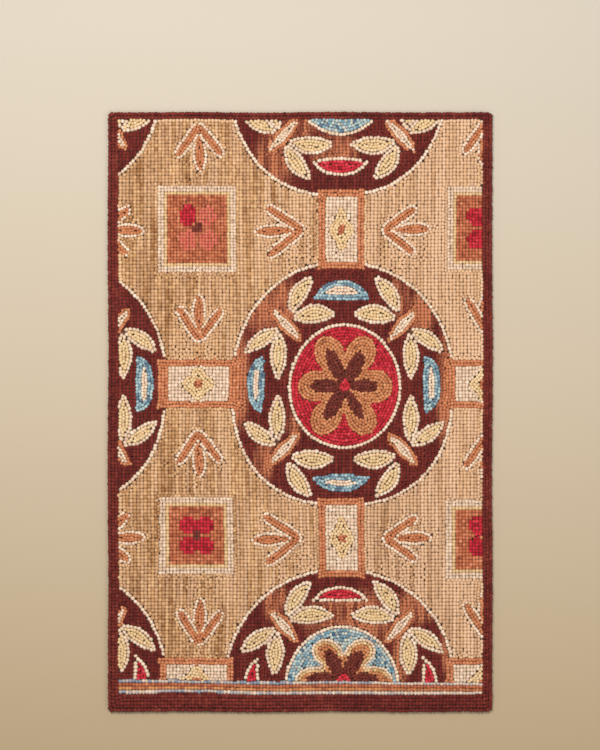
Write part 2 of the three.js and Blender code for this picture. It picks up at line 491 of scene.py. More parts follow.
def straight_row(start, end, spacing):
    start, end = np.array(start, float), np.array(end, float)
    length = math.dist(start, end)
    count = max(1, round(length / spacing))
    turn = math.atan2(*(end - start)[::-1])
    return [(*(start + (end - start) * (k + 0.5) / count), turn) for k in range(count)]


MOTIF_PITCH = 5.1  # in the motifs the rows lie closer than in the field
EDGE_SPACING = 6.0  # the loops of a cream edge are a little larger than the rest
EDGE_WIDTH = 6.0
EDGE_MARGIN = 2.0  # bare cloth left outside a cream edge, so that its loops can swell
EDGE_SLANT = math.radians(20)  # they stand a little aslant, so that the edge looks like a rope
FILLER_STEP = 1.3
FILLER_GAP = 3.9  # how near to its neighbours an extra loop may stand
TIGHT_FILLER_GAP = 3.75  # the same inside a motif
# How near to their neighbours loops may stand, in spacings, while their rows are hooked.
EDGE_ROOM, TIP_ROOM, MOTIF_ROOM, GROUND_ROOM = 0.72, 0.8, 0.74, 0.8
ROW_SLACK = 0.45  # how much nearer to the outline than it should a row may come before it is cut


def box_outline(centre, size):
    x, y = centre
    a, b = size[0] / 2, size[1] / 2
    return np.array([(x - a, y - b), (x + a, y - b), (x + a, y + b), (x - a, y + b)])


def round_outline(centre, size, power=2.0, count=120):
    """An ellipse, or with a power over 2 a squarer round."""
    angle = np.linspace(0, 2 * math.pi, count, endpoint=False)
    c, s = np.cos(angle), np.sin(angle)
    x = np.sign(c) * abs(c) ** (2 / power) * size[0]
    y = np.sign(s) * abs(s) ** (2 / power) * size[1]
    return np.stack([x, y], -1) + centre


def way_along(line):
    """How far along a line of points each of them lies."""
    return np.concatenate([[0], np.cumsum(np.hypot(*np.diff(line, axis=0).T))])


def place_at(line, way, at):
    """The place, or the places, that lie so far along a line."""
    return np.stack([np.interp(at, way, line[:, k]) for k in (0, 1)], -1)


def fine_outline(outline, step=1.0):
    """The same closed outline with a point on each step of its way."""
    closed = np.vstack([outline, outline[:1]])
    way = way_along(closed)
    count = max(8, int(way[-1] / step))
    return place_at(closed, way, np.linspace(0, way[-1], count, endpoint=False))


def outward(fine, reach):
    """The way out of a fine closed outline at each of its points, from those on either side of it."""
    along = np.roll(fine, -reach, 0) - np.roll(fine, reach, 0)
    along /= np.maximum(np.hypot(*along.T), 1e-9)[:, None]
    area = np.sum(fine[:, 0] * np.roll(fine[:, 1], -1) - np.roll(fine[:, 0], -1) * fine[:, 1])
    return np.stack([along[:, 1], -along[:, 0]], -1) * (1 if area > 0 else -1)


def grown(outline, by):
    """The outline moved outwards by a distance."""
    fine = fine_outline(outline, 2.0)
    return fine + outward(fine, 2) * by


def well_inside(spots, outline, line, depth):
    """Which spots lie inside an outline, and farther than a depth from its line of points."""
    nearest = np.full(len(spots), np.inf)
    for start in range(0, len(line), 64):
        gaps = spots[:, None, :] - line[None, start : start + 64, :]
        nearest = np.minimum(nearest, (gaps**2).sum(-1).min(1))
    return inside(spots, outline) & (nearest > depth**2)


def contour_row(outline, inset, spacing):
    """Loops along a row that follows a closed outline at an even distance inside it."""
    fine = fine_outline(outline)
    moved = fine - outward(fine, 1) * inset
    kept = well_inside(moved, outline, fine, max(inset - ROW_SLACK, 0))
    order = np.roll(np.arange(len(moved)), 0 if kept.all() else -int(np.argmin(kept)))
    spots = []
    for group in np.split(order, np.flatnonzero(np.diff(kept[order].astype(int))) + 1):
        if not kept[group[0]] or len(group) < 2:
            continue
        line = moved[group]
        if kept.all():
            line = np.vstack([line, line[:1]])
        way = way_along(line)
        count = max(1, round(way[-1] / spacing))
        for k in range(count):
            at = (k + 0.5) / count * way[-1]
            run = place_at(line, way, min(at + 1.0, way[-1])) - place_at(line, way, max(at - 1.0, 0))
            spots.append((*place_at(line, way, at), math.atan2(run[1], run[0])))
    return spots


def column_rows(outline, spacing, origin=(0.0, 0.0)):
    """Loops in straight rows that run along the rug, over all of an outline."""
    low = np.floor((outline.min(0) - origin) / spacing)
    high = np.ceil((outline.max(0) - origin) / spacing) + 1
    raster = np.meshgrid(np.arange(low[0], high[0]), np.arange(low[1], high[1]), indexing="ij")
    grid = np.stack(raster, -1).reshape(-1, 2) * spacing + origin
    return [(x, y, math.pi / 2) for x, y in grid[inside(grid, outline)]]


def even_rows(centre, size, spacing):
    """Loops in rows that fill a box exactly, with whole rows both ways."""
    counts = np.maximum(1, np.round(np.array(size) / spacing)).astype(int)
    steps = np.array(size) / counts
    corner = np.array(centre) - np.array(size) / 2
    cells = [(i + 0.5, j + 0.5) for i in range(counts[0]) for j in range(counts[1])]
    return [(*(corner + steps * cell), math.pi / 2) for cell in cells]


def leftover(outline, turn=math.pi / 2):
    """Loops for whatever room the rows have left, on a finer raster."""
    return [(x, y, turn) for x, y, _ in column_rows(outline, FILLER_STEP)]


def aslant(row):
    return [(x, y, turn + EDGE_SLANT) for x, y, turn in row]


def edge_row(outline):
    """One row of large loops just inside an outline, and more in tips that are too narrow for the row."""
    row = contour_row(outline, EDGE_WIDTH / 2, EDGE_SPACING)
    made = cloth.hook(aslant(row), EDGE_ROOM * EDGE_SPACING)
    for inset in (EDGE_WIDTH / 4, EDGE_WIDTH / 2, 3 * EDGE_WIDTH / 4):
        line = grown(outline, -inset)
        tips = [(x, y, math.pi / 2) for x, y in line[inside(line, outline)]]
        made += cloth.hook(tips, TIP_ROOM * EDGE_SPACING)
    cloth.take_band(outline, EDGE_WIDTH - 1.0)
    return made


def contour_fill(outline, spacing, turn, edged):
    """Rows that follow the outline, one inside the other, from its edge or from its edge row inwards."""
    made = []
    inset = spacing / 2 + (EDGE_WIDTH if edged else 0)
    while row := contour_row(outline, inset, spacing):
        made += cloth.hook(row, MOTIF_ROOM * spacing)
        inset += spacing
    rest = np.array(cloth.free(leftover(outline, turn)))
    if edged and len(rest):
        rest = rest[well_inside(rest[:, :2], outline, fine_outline(outline, 2.0), EDGE_WIDTH + 1.0)]
    return made + cloth.hook(rest, TIGHT_FILLER_GAP)


hooked = {}  # the loops of each piece of pile, by the piece's name
plans = []


def note(name, loops):
    hooked.setdefault(name, []).extend(loops)


def fill(name, outline, spacing=MOTIF_PITCH, turn=math.pi / 2, edge=None):
    """Hooks a motif as part of one piece of pile, after its edge as part of another, and takes its cloth."""
    if edge:
        note(edge, edge_row(outline))
    note(name, contour_fill(outline, spacing, turn, bool(edge)))
    cloth.take(grown(outline, EDGE_MARGIN) if edge else outline)


def plan_pile(name, wool, tone=0.5, spread=0.16, cast=0.0, leans=(0.0, 0.0)):
    """Notes down one piece of pile: its loops, its dyed wool, and how tone and cast go over the loops."""
    count = len(hooked[name])
    plans.append(
        {
            "name": f"{name}_loops",
            "loops": np.array(hooked[name], float),
            "wool": wool[0],
            "slot": wool[1],
            "tone": (tone + chance.normal(0, spread, count)).clip(0, 1),
            "cast": np.clip(cast + np.zeros(count), 0, 1),
            "high": LOOP_HEIGHT + chance.normal(0, HEIGHT_SPREAD, count),
            "leans": np.zeros((count, 2)) + leans,
        }
    )


maroon = dyed_wool("maroon", (80, 20, 15), (104, 34, 26), (126, 52, 40), (178, 108, 74))
cloth = Cloth()
border_leans = []
for side, rows in BORDER_ROWS.items():
    for row in range(rows):
        inset = (row + 0.5) * BORDER_PITCH[side] + (RIM_INSET if row == 0 else 0)
        reach_x, reach_y = HALF_WIDTH - inset, HALF_LENGTH - inset
        lean = RIM_LEAN if row == 0 else 0.0
        if side in ("left", "right"):
            sign = 1 if side == "right" else -1
            spots = straight_row((sign * reach_x, -reach_y), (sign * reach_x, reach_y), BORDER_SPACING)
        else:
            sign = 1 if side == "head" else -1
            spots = straight_row((-reach_x, sign * reach_y), (reach_x, sign * reach_y), BORDER_SPACING)
            lean = -lean
        spots = cloth.hook(spots, BORDER_GAP)
        note("border", spots)
        border_leans += [(sign * lean, 0.0)] * len(spots)
field_left = -HALF_WIDTH + BORDER_ROWS["left"] * BORDER_PITCH["left"]
field_right = HALF_WIDTH - BORDER_ROWS["right"] * BORDER_PITCH["right"]
field_head = HALF_LENGTH - BORDER_ROWS["head"] * BORDER_PITCH["head"]
field_foot = -HALF_LENGTH + BORDER_ROWS["foot"] * BORDER_PITCH["foot"]
hookable = box_outline((0, 0), (2 * (HALF_WIDTH - RIM_FREE), 2 * (HALF_LENGTH - RIM_FREE)))
gaps = [
    (x, y, turn)
    for x, y, turn in leftover(hookable)
    if not (field_left < x < field_right and field_foot < y < field_head)
]
gaps = cloth.hook(gaps, SEAM_GAP)
note("border", gaps)
border_leans += [(0.0, 0.0)] * len(gaps)
x, y, turn = np.array(hooked["border"]).T
plan_pile("border", maroon, 0.47 + 0.2 * slow_noise(x, y, 40, 40, 5), 0.14, leans=border_leans)
cloth.taken[: int(field_left + HALF_WIDTH)] = True
cloth.taken[int(field_right + HALF_WIDTH) + 1 :] = True
cloth.taken[:, : int(field_foot + HALF_LENGTH)] = True
cloth.taken[:, int(field_head + HALF_LENGTH) + 1 :] = True

# The striped band.
# Just inside the foot border run four single rows across the rug: cream beads with blue-grey ones, then
# brick, then gold, then cream with lavender beads. They waver a little, as hooked rows do.
STRIPES = {
    # distance from the foot edge at the left and the right, share of the cast colour, tone
    "cream_blue": (49.0, 44.2, 1.2, 0.55),
    "brick": (42.8, 39.4, 0.0, 0.35),
    "gold": (37.3, 34.6, 1.3, 0.25),
    "cream_lavender": (32.2, 29.4, 0.8, 0.55),
}
STRIPE_SPACING, STRIPE_GAP = 5.2, 3.2
STRIPE_WAVER, STRIPE_WAVE = 0.8, 61.0  # reach and length of its waves, for one radian
cream = dyed_wool("cream", (182, 150, 124), (208, 180, 154), (224, 202, 180), (122, 128, 142))
brick = dyed_wool("brick", (134, 64, 42), (176, 100, 66), (202, 132, 96), (190, 130, 82))
gold = dyed_wool("gold", (170, 124, 72), (206, 166, 116), (220, 190, 150), (212, 188, 146))
stripe_wools = {"brick": brick, "gold": (brick[0], "wool_gold")}
for name, (left, right, share, tone) in STRIPES.items():
    ends = (field_left + 1.0, left - HALF_LENGTH), (field_right - 1.0, right - HALF_LENGTH)
    spots = straight_row(*ends, STRIPE_SPACING)
    spots = [(x, y + STRIPE_WAVER * math.sin(x / STRIPE_WAVE + left / 8), turn) for x, y, turn in spots]
    spots = cloth.hook(spots, STRIPE_GAP)
    note(f"stripe_{name}", spots)
    towards_left = 0.65 - 0.35 * np.array(spots)[:, 0] / HALF_WIDTH
    cast = share * towards_left * chance.uniform(0.1, 1.5, len(spots))
    plan_pile(f"stripe_{name}", stripe_wools.get(name, cream), tone, 0.12, cast)
stripes_end_left, stripes_end_right = (end - HALF_LENGTH + 2.0 for end in STRIPES["cream_blue"][:2])
stripe_band = np.array(
    [
        (field_left - 1, field_foot - 3),
        (field_right + 1, field_foot - 3),
        (field_right + 1, stripes_end_right),
        (field_left - 1, stripes_end_left),
    ]
)
note("stripe_seam", cloth.hook(leftover(stripe_band), SEAM_GAP))
plan_pile("stripe_seam", maroon)
cloth.take(stripe_band)

# The bars.
# Short upright and level bars join one roundel to the next. Each is a frame of two brick rows round
# a cream panel, and in the panel lies a small gold flower with a brick heart.
PATTERN_X, PATTERN_Y = 67.0, 44.5  # the middle of the central roundel
REPEAT_X, REPEAT_Y = 456.0, 490.0
BAR_PITCH = 5.5
PANEL_GAP = 4.4
UPRIGHT_BAR = {"outer": (73.4, 126.4), "panel": (51.4, 104.4), "flower": (38.0, 66.0)}
LEVEL_BAR = {"outer": (130.0, 77.6), "panel": (97.0, 55.6), "flower": (50.0, 54.0)}
FOOT_BAR = LEVEL_BAR | {"outer": (118.0, 77.6)}
FOOT_BAR_SHIFT = (-3.0, 16.0)  # how far the level bars at the foot end lie off the even pattern
BAR_HEART = (6.5, 7.5)
BAR_FLOWER_OFF = 1.5  # how far a flower may lie off the middle of its bar
MOTIF_REACH = 200  # a repeat whose middle lies farther off the rug's edge than this doesn't reach the rug


def repeats(shift_x, shift_y):
    """The places of a motif in every repeat of the pattern that reaches the rug, with its row and column."""
    places = []
    for row in (-1, 0, 1):
        for column in range(-2, 2):
            x = PATTERN_X + shift_x + column * REPEAT_X
            y = PATTERN_Y + shift_y + row * REPEAT_Y
            if abs(x) < HALF_WIDTH + MOTIF_REACH and abs(y) < HALF_LENGTH + MOTIF_REACH:
                places.append((x, y, row, column))
    return places


def four_lobes(centre, size):
    """The outline of a small flower with four soft points."""
    angle = np.linspace(0, 2 * math.pi, 72, endpoint=False)
    reach = 0.87 + 0.13 * np.cos(4 * angle)
    return np.stack([np.cos(angle) * reach * size[0] / 2, np.sin(angle) * reach * size[1] / 2], -1) + centre


bars = [(x, y, UPRIGHT_BAR) for x, y, row, column in repeats(0, REPEAT_Y / 2)]
for x, y, row, column in repeats(REPEAT_X / 2, 0):
    if row < 0:
        bars.append((x + FOOT_BAR_SHIFT[0], y + FOOT_BAR_SHIFT[1], FOOT_BAR))
    else:
        bars.append((x, y, LEVEL_BAR))
for x, y, bar in bars:
    off_x, off_y = (chance.uniform(-BAR_FLOWER_OFF, BAR_FLOWER_OFF) for _ in "xy")
    middle = (x + off_x, y + off_y)
    fill("bar_heart", round_outline(middle, BAR_HEART, count=24))
    fill("bar_flower", four_lobes(middle, bar["flower"]))
    panel = box_outline((x, y), bar["panel"])
    note("bar_panel", cloth.hook(even_rows((x, y), bar["panel"], BAR_PITCH), PANEL_GAP))
    note("bar_panel", cloth.hook(leftover(panel), FILLER_GAP))
    cloth.take(panel)
    fill("bar_frame", box_outline((x, y), bar["outer"]), BAR_PITCH)
plan_pile("bar_heart", brick)
plan_pile("bar_flower", gold, 0.6, 0.2, 0.4)
plan_pile("bar_panel", cream, 0.48)
plan_pile("bar_frame", brick, 0.6, 0.16, 0.25)

# The tiles.
# Between the roundels lie upright tiles: two rows of cream and one of gold round a brick field, with
# a red flower of four round petals and a brown heart.
TILES = {
    # row and column: shift off the even pattern, size of the brick field, width of a row in the frame, and
    # how far the flower lies off the field's middle
    (0, 0): {"shift": (-2.5, 1.0), "field": (95.0, 108.0), "row": 5.0, "flower": (1.0, 1.5)},
    (0, 1): {"shift": (1.5, 2.5), "field": (95.0, 103.0), "row": 5.0, "flower": (0.0, 0.0)},
    (-1, 0): {"shift": (-4.0, 4.0), "field": (86.0, 91.0), "row": 5.5, "flower": (0.0, 0.0)},
    (-1, 1): {"shift": (-3.0, -2.5), "field": (90.0, 95.0), "row": 5.2, "flower": (4.8, 5.7)},
}
TILE_PETAL_AT = (0.163, 0.177)  # as shares of the field, like the next two
TILE_PETAL_SIZE = (0.148, 0.145)
TILE_HEART_SIZE = (0.075, 0.075)
TILE_GAP, TILE_FILLER_GAP = 4.0, 4.2
FADED_PETALS = [(1, 1), (-1, -1), (1, -1)]  # sides of the faded petals in the left tile of the head end
red = dyed_wool("red", (136, 18, 28), (184, 38, 50), (206, 72, 82), (190, 106, 82))
brown = dyed_wool("brown", (82, 26, 18), (102, 42, 32), (122, 56, 44), (150, 90, 68))


def fill_evenly(name, outline, loops):
    """Hooks those of an even raster of loops that lie inside an outline, and takes its cloth."""
    note(name, cloth.hook(loops[inside(loops[:, :2], outline)], TILE_GAP))
    note(name, cloth.hook(leftover(outline), TILE_FILLER_GAP))
    cloth.take(outline)


for x, y, row, column in repeats(-REPEAT_X / 2, REPEAT_Y / 2):
    if (row, column) not in TILES:
        continue
    tile = TILES[row, column]
    field_size = np.array(tile["field"])
    middle = np.array([x, y]) + tile["shift"]
    loops = np.array(even_rows(middle, field_size + 6 * tile["row"], tile["row"]))
    flower_middle = middle + tile["flower"]
    fill_evenly("tile_heart", round_outline(flower_middle, field_size * TILE_HEART_SIZE, count=24), loops)
    for side in ((-1, -1), (1, -1), (-1, 1), (1, 1)):
        petal_middle = flower_middle + side * field_size * TILE_PETAL_AT
        petal = round_outline(petal_middle, field_size * TILE_PETAL_SIZE, 2.1, 36)
        faded = (row, column) == (0, 0) and side in FADED_PETALS
        fill_evenly("faded_petal" if faded else "tile_petal", petal, loops)
    for name, rows in {"tile_field": 0, "tile_gold": 2, "tile_cream": 6}.items():
        fill_evenly(name, box_outline(middle, field_size + rows * tile["row"]), loops)
plan_pile("faded_petal", red, 0.6, 0.2, chance.uniform(0.6, 1, len(hooked["faded_petal"])))
plan_pile("tile_heart", brown)
plan_pile("tile_petal", red, 0.35)
plan_pile("tile_field", brick, 0.45)
plan_pile("tile_gold", gold, 0.35, 0.12, 0.3)
plan_pile("tile_cream", cream, 0.4)

# The sprigs.
# Round each tile stand four sprigs of three slim brick leaves that spread from a point, edged with a row
# of cream beads. The point looks away from the tile.
SPRIGS = [
    # quarter turns from the right, distance of the point from the tile's middle at the head and the foot,
    # length of the side leaves, how far they spread, start and end of the middle leaf
    (0, 165.0, 160.0, 64.0, 35, 19.0, 71.0),
    (1, 164.0, 167.0, 56.0, 36, 16.0, 68.0),
    (2, 159.0, 158.0, 57.0, 37, 19.0, 69.0),
    (3, 174.0, 167.0, 57.0, 34, 11.0, 67.0),
]
SPRIG_NEARER = {
    # row, column and quarter of those that stand nearer to their tile than the others, or farther off
    (0, 1, 1): -6.0,
    (0, 1, 3): 13.0,
    (-1, 1, 1): 7.0,
    (-1, 1, 3): 12.5,
}
SPRIG_SIDE_WIDTH = 10.0
SPRIG_MIDDLE_WIDTH = 13.5
SPRIG_EDGE_SPACING, SPRIG_EDGE_GAP = 5.4, 3.4


def leaf_outline(base, tip, width, fullest=0.5, curve=0.0, count=28):
    """A leaf from its base to its tip, widest at a share of its length, with its middle line bowed."""
    base, tip = np.array(base, float), np.array(tip, float)
    way = tip - base
    across = np.array([-way[1], way[0]]) / np.hypot(*way)
    share = np.linspace(0, 1, count)
    swell = np.sin(math.pi * share ** (math.log(0.5) / math.log(fullest))) ** 0.7
    middle = base + share[:, None] * way + (curve * np.sin(math.pi * share))[:, None] * across
    left = middle + across * (width / 2 * swell)[:, None]
    right = middle - across * (width / 2 * swell)[:, None]
    return np.vstack([left, right[-2:0:-1]])


def towards(angle):
    return np.array([math.cos(angle), math.sin(angle)])


def long_oval(start, end, width, power=2.3):
    """A long oval with round ends, from one place to another."""
    start, end = np.array(start), np.array(end)
    way = end - start
    half = math.hypot(*way) / 2
    c, s = way / (2 * half)
    shape = round_outline((0, 0), (half, width / 2), power, 60)
    return shape @ np.array([[c, s], [-s, c]]) + (start + end) / 2


sprigs = []
for x, y, row, column in repeats(-REPEAT_X / 2, REPEAT_Y / 2):
    for quarter, head_distance, foot_distance, side_length, spread, middle_start, middle_end in SPRIGS:
        away = quarter * math.pi / 2
        distance = head_distance if row == 0 else foot_distance
        distance -= SPRIG_NEARER.get((row, column, quarter), 0)
        point = np.array([x, y]) + distance * towards(away)
        away += math.pi + chance.uniform(-0.05, 0.05)
        for turn in (-math.radians(spread), math.radians(spread)):
            way = away + turn + chance.uniform(-0.06, 0.06)
            sprigs.append(long_oval(point, point + side_length * towards(way), SPRIG_SIDE_WIDTH, 3.0))
        start, end = (point + at * towards(away) for at in (middle_start, middle_end))
        sprigs.append(leaf_outline(start, end, SPRIG_MIDDLE_WIDTH, 0.55))
for outline in sprigs:
    fill("sprig_leaf", outline)
for outline in sprigs:
    row = contour_row(grown(outline, EDGE_WIDTH / 2), 0.05, SPRIG_EDGE_SPACING)
    note("sprig_edge", cloth.hook(aslant(row), SPRIG_EDGE_GAP))
plan_pile("sprig_leaf", brick, 0.5, 0.18, 0.35)
plan_pile("sprig_edge", cream, 0.55)

# The flowers in the roundels.
# A flower of six round tan petals, with a long dark brown petal inside each and a red eye. Its rows
# follow the outline, one inside the other. On the blue discs it is edged with a row of cream and one of gold.
ROUNDEL_ROWS = {
    # for each row: shifts off the even pattern and sizes of the outline, disc and flower, then the shift of
    # the ring of leaves, and how much lower still its lower half lies
    1: {
        "outline": (-6.5, 3.0, 176.0, 197.0),
        "disc": (-5.0, 4.0, 88.0, 101.0),
        "flower": (-3.0, 14.0, 1.0, 1.0),
        "ring": (-3.0, 2.6),
        "lower": 0.0,
    },
    0: {
        "outline": (0.7, 0.0, 178.5, 195.5),
        "disc": (0.7, -4.0, 90.5, 100.5),
        "flower": (-0.8, -2.3, 1.0, 1.0),
        "ring": (0.0, 0.0),
        "lower": 6.0,
    },
    -1: {
        "outline": (-4.0, 1.0, 186.5, 196.0),
        "disc": (-3.0, 5.0, 93.0, 101.5),
        "flower": (-1.7, 22.0, 1.03, 0.81),
        "ring": (-3.5, 12.0),
        "lower": 0.0,
    },
}
LEFT_COLUMN_SHIFT = np.array([-1.5, 3.5])  # the roundels at the left lie a little off, but for the middle one
PETALS = [
    # direction in degrees, middle from the eye, half length, half width, reach and width of its dark petal
    (0, 47, 29, 27.5, 52, 21),
    (64, 57, 30, 24, 60, 24),
    (116, 57, 30, 24, 62, 22),
    (180, 47, 28.5, 25, 55, 22),
    (240, 57, 30, 24, 61, 23),
    (298, 56, 30, 24, 57, 18),
]
FLOWER_HUB = 44.0  # how far in the petals run together
EYE_RADIUS = 8.8
DARK_START = 7.0  # where the dark petals start, from the eye's middle
FLOWER_SHIFT = (4.0, -1.5)  # how far all the flowers lie off the even pattern
tan = dyed_wool("tan", (132, 74, 44), (178, 110, 70), (200, 138, 94), (186, 104, 84), "wool_brick")


def row_shift(row, column, what):
    """How far a thing in a roundel lies off the even pattern."""
    shift = np.array(ROUNDEL_ROWS[row][what][:2])
    return shift + LEFT_COLUMN_SHIFT if column < 0 and row != 0 else shift


def flower_outline(centre, size):
    """The outline of the whole flower: in each direction, the farthest that any petal reaches."""
    angle = np.linspace(0, 2 * math.pi, 300, endpoint=False)
    reach = np.full(len(angle), FLOWER_HUB)
    for direction, middle, half_length, half_width, _, _ in PETALS:
        off = angle - math.radians(direction)
        a = (np.cos(off) / half_length) ** 2 + (np.sin(off) / half_width) ** 2
        b = -2 * middle * np.cos(off) / half_length**2
        c = (middle / half_length) ** 2 - 1
        root = b**2 - 4 * a * c
        far = (-b + np.sqrt(np.maximum(root, 0))) / (2 * a)
        reach = np.where((root > 0) & (far > reach), far, reach)
    return np.stack([reach * np.cos(angle), reach * np.sin(angle)], -1) * size + centre


roundels = repeats(0, 0)
for x, y, row, column in roundels:
    middle = np.array([x, y]) + FLOWER_SHIFT + row_shift(row, column, "flower")
    size = ROUNDEL_ROWS[row]["flower"][2:]
    fill("flower_eye", round_outline(middle, (EYE_RADIUS, EYE_RADIUS), count=24))
    for direction, _, _, _, dark_reach, dark_width in PETALS:
        way = math.radians(direction)
        out = towards(way) * size
        dark = long_oval(middle + DARK_START * out, middle + dark_reach * out, dark_width, 2.0)
        fill("dark_petal", dark, turn=way)
    whole = flower_outline(middle, size)
    if row != 0:
        for name, inset in {"petal_edge": 0.5 * MOTIF_PITCH, "petal_gold": 1.5 * MOTIF_PITCH}.items():
            note(name, cloth.hook(contour_row(whole, inset, MOTIF_PITCH), MOTIF_ROOM * MOTIF_PITCH))
    fill("tan_petal", whole)
plan_pile("flower_eye", red, 0.55)
plan_pile("dark_petal", brown)
plan_pile("tan_petal", tan, 0.6)
plan_pile("petal_edge", cream)
plan_pile("petal_gold", gold, 0.45)

# The discs behind the flowers.
# The flower lies on a round disc, red in the middle roundels and soft blue in the others, inside a single
# row of large cream beads.
blue = dyed_wool("blue", (54, 86, 112), (108, 144, 158), (158, 180, 182), (198, 190, 170))
DISC_SHIFT = (2.5, 0.0)
DISC_POWERS = {1: 1.85, 0: 2.0, -1: 2.0}  # for each row: under 2 is slimmer than an oval
for x, y, row, column in roundels:
    middle = np.array([x, y]) + DISC_SHIFT + row_shift(row, column, "disc")
    disc = round_outline(middle, ROUNDEL_ROWS[row]["disc"][2:], DISC_POWERS[row])
    fill("red_disc" if row == 0 else "blue_disc", disc, edge="disc_edge")
plan_pile("disc_edge", cream, 0.62)
plan_pile("red_disc", red, 0.4)
speckle = 0.8 * chance.uniform(0, 1, len(hooked["blue_disc"])) ** 2
plan_pile("blue_disc", blue, 0.5, 0.3, speckle)

# The half moons.
# Between the leaves, a half moon bulges outwards on each of the roundel's four sides, with a pale sliver in
# it. They are blue with cream in the middle roundels, and red edged with cream in the others.
MOONS = [
    # quarter turns from the right, distance of its flat side from the middle, depth, depth of its sliver,
    # how pointed its ends are
    (0, 132.5, 24.3, 6.0, 0.5),
    (1, 137.1, 27.4, 10.5, 0.72),
    (2, 128.8, 22.3, 6.5, 0.5),
    (3, 148.9, 23.3, 6.0, 0.72),
]
MOON_LENGTH = 88.0
MOON_BELLY = 0.2  # how far the flat side bulges too, as a share of the depth
SLIVER_LENGTH = 49.0
SLIVER_BELLY = 0.5
RED_MOONS = {
    # for the rows at the head and the foot: the distances in the same order, the depth and the belly
    1: ((125.8, 132.5, 123.6, 139.5), 24.0, 0.3),
    -1: ((131.8, 132.5, 129.6, 142.3), 24.0, 0.08),
}
RED_MOON_POINTED = 0.73


def half_moon(centre, way, length, depth, belly, pointed=0.73, count=24):
    """A half moon with its tips across the given way and its back bulging along it."""
    share = np.linspace(-1, 1, count)
    back = np.stack([share * length / 2, depth * (1 - np.abs(share) ** 2.3) ** pointed], -1)
    share = share[-2:0:-1]
    front = np.stack([share * length / 2, -belly * depth * (1 - share**2) ** pointed], -1)
    c, s = math.cos(way - math.pi / 2), math.sin(way - math.pi / 2)
    return np.vstack([back, front]) @ np.array([[c, s], [-s, c]]) + centre


for x, y, row, column in roundels:
    for quarter, distance, depth, sliver_depth, pointed in MOONS:
        way = quarter * math.pi / 2
        belly = MOON_BELLY
        if row != 0:
            distances, depth, belly = RED_MOONS[row]
            distance, pointed = distances[quarter], RED_MOON_POINTED
        at = np.array([x, y]) + distance * towards(way) + row_shift(row, column, "ring")
        moon = half_moon(at, way, MOON_LENGTH, depth, belly, pointed)
        if row == 0:
            at = at + ((1 - MOON_BELLY) * depth - (1 - SLIVER_BELLY) * sliver_depth) / 2 * towards(way)
            sliver = half_moon(at, way, SLIVER_LENGTH, sliver_depth, SLIVER_BELLY)
            fill("moon_sliver", sliver, turn=way + math.pi / 2)
            fill("moon_blue", moon, turn=way + math.pi / 2)
        else:
            fill("moon_red", moon, turn=way + math.pi / 2, edge="moon_edge")
plan_pile("moon_blue", blue, 0.52, 0.32, 0.1)
plan_pile("moon_sliver", cream, 0.6)
plan_pile("moon_edge", cream, 0.6)
plan_pile("moon_red", red, 0.45)

# The leaves and buds.
# In each quarter of a roundel a slim bud points outwards, with two leaves on either side. All are edged with
# cream beads. The leaves are filled with pale gold, and the buds are cream inside a brick edge.
LEAVES = [
    # base x and y, tip x and y, width, bow
    (88.0, 115.0, 50.0, 173.0, 29.0, -4.0),
    (84.0, 106.0, 13.0, 112.0, 32.0, -4.0),
    (104.0, 90.0, 159.0, 52.0, 27.0, 2.5),
    (104.0, 86.0, 105.5, 9.0, 28.0, 1.0),
]
OTHER_LEAVES = [
    # the same for the rows of roundels at the head and the foot
    (90.0, 110.0, 50.0, 166.0, 29.0, -4.0),
    (86.0, 106.0, 13.0, 111.0, 31.0, -4.0),
    (104.0, 92.0, 162.0, 53.0, 28.0, 2.5),
    (103.0, 88.0, 107.0, 16.0, 31.0, 1.0),
]
BUD = {"base": (70.0, 70.0), "tip": (116.0, 121.0), "width": 23.0, "core": 13.5}
BUD_CORE = (0.07, 0.93)  # where the cream core starts and ends, as shares of the bud
LEAVES_SHIFT = (3.0, -1.5)
for x, y, row, column in roundels:
    for side_x, side_y in ((1, 1), (-1, 1), (-1, -1), (1, -1)):
        side = np.array([side_x, side_y])
        middle = np.array([x, y]) + LEAVES_SHIFT + row_shift(row, column, "ring")
        if side_y < 0:
            middle[1] -= ROUNDEL_ROWS[row]["lower"]
        base, tip = middle + side * BUD["base"], middle + side * BUD["tip"]
        start, end = (base + share * (tip - base) for share in BUD_CORE)
        fill("bud_core", leaf_outline(start, end, BUD["core"]))
        fill("bud_edge", leaf_outline(base, tip, BUD["width"]))
        for base_x, base_y, tip_x, tip_y, width, bow in LEAVES if row == 0 else OTHER_LEAVES:
            base, tip = middle + side * (base_x, base_y), middle + side * (tip_x, tip_y)
            fill("leaf_fill", leaf_outline(base, tip, width, 0.5, bow * side_x * side_y), edge="leaf_edge")
plan_pile("bud_core", cream, 0.55)
plan_pile("bud_edge", brick, 0.55, 0.16, 0.3)
plan_pile("leaf_edge", cream, 0.55)
plan_pile("leaf_fill", gold, 0.52, 0.2, 0.5)

# The roundels.
# Large squarish rounds of maroon, in rows along the rug, inside one row of cream beads. The maroon wool was
# dyed unevenly, and in places it runs out to rust.
ROUNDEL_POWER = 2.15
LOWER_POWERS = {1: 2.22, 0: 2.35, -1: 2.15}  # for each row: the lower halves are a little squarer
HEAD_LEFT_SHIFT = 5.0  # the outline at the left of the head end lies farther in than its leaves do
RUST = [
    # middle x and y, reach x and y
    (-48, 170, 34, 34),
    (159, 186, 10, 26),
    (195, 158, 14, 30),
    (232, 43, 11, 74),
    (-96, 46, 12, 52),
    (-56, -79, 12, 22),
    (-9, -24, 7, 22),
    (-39, -303, 16, 22),
    (87, -330, 56, 32),
    (183, -310, 24, 20),
    (159, -394, 8, 34),
    (234, -362, 7, 42),
    (-42, 396, 22, 34),
    (0, 452, 18, 13),
    (56, 412, 26, 22),
]


